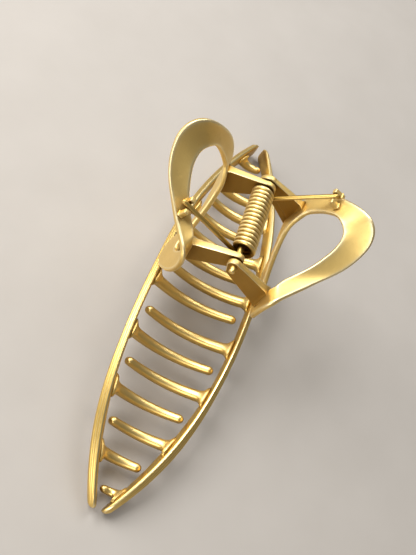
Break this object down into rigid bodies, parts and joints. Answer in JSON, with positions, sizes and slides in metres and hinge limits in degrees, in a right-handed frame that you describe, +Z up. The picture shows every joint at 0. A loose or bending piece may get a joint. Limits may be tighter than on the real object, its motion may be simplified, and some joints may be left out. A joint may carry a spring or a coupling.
{
  "type": "claw clip",
  "caption": "Metal claw clip with two toothed jaws, loop handles, a hinge pin and a torsion spring that holds the jaws closed.",
  "frame": {"origin": "on the ground plane under the middle of the closed clip, level with the lowest blade tips", "axes": "+X from the left jaw to the right jaw, +Y along the clip towards the tips behind the handles, +Z up from the tooth side to the handles"},
  "size_m": [0.0476, 0.11, 0.0471],
  "materials": {
    "jaw_gold": "satin gold plate on a zinc casting",
    "handle_gold": "fine-grained satin gold plate on a zinc casting",
    "pin_gold": "satin gold plate on steel",
    "spring_gold": "gold plated spring wire"
  },
  "bodies": {
    "right_jaw": {"right_rail": "jaw_gold", "right_tooth_1": "jaw_gold", "right_tooth_2": "jaw_gold", "right_tooth_3": "jaw_gold", "right_tooth_4": "jaw_gold", "right_tooth_5": "jaw_gold", "right_tooth_6": "jaw_gold", "right_tooth_7": "jaw_gold", "right_tooth_8": "jaw_gold", "right_handle": "handle_gold", "right_front_arm": "handle_gold", "right_back_arm": "handle_gold", "right_spring_posts": "handle_gold", "hinge_pin": "pin_gold", "torsion_spring": "spring_gold"},
    "left_jaw": {"left_rail": "jaw_gold", "left_tooth_1": "jaw_gold", "left_tooth_2": "jaw_gold", "left_tooth_3": "jaw_gold", "left_tooth_4": "jaw_gold", "left_tooth_5": "jaw_gold", "left_tooth_6": "jaw_gold", "left_tooth_7": "jaw_gold", "left_tooth_8": "jaw_gold", "left_handle": "handle_gold", "left_front_arm": "handle_gold", "left_back_arm": "handle_gold", "left_spring_posts": "handle_gold"}
  },
  "joints": [
    {"name": "jaw_hinge", "type": "hinge", "parent": "right_jaw", "child": "left_jaw", "pos_m": [0, 0, 0.03312], "axis": [0, 1, 0], "range_deg": [0, 75], "stiffness_Nm_per_rad": 0.058, "springref_deg": -68.75, "deforming": ["torsion_spring"]}
  ]
}
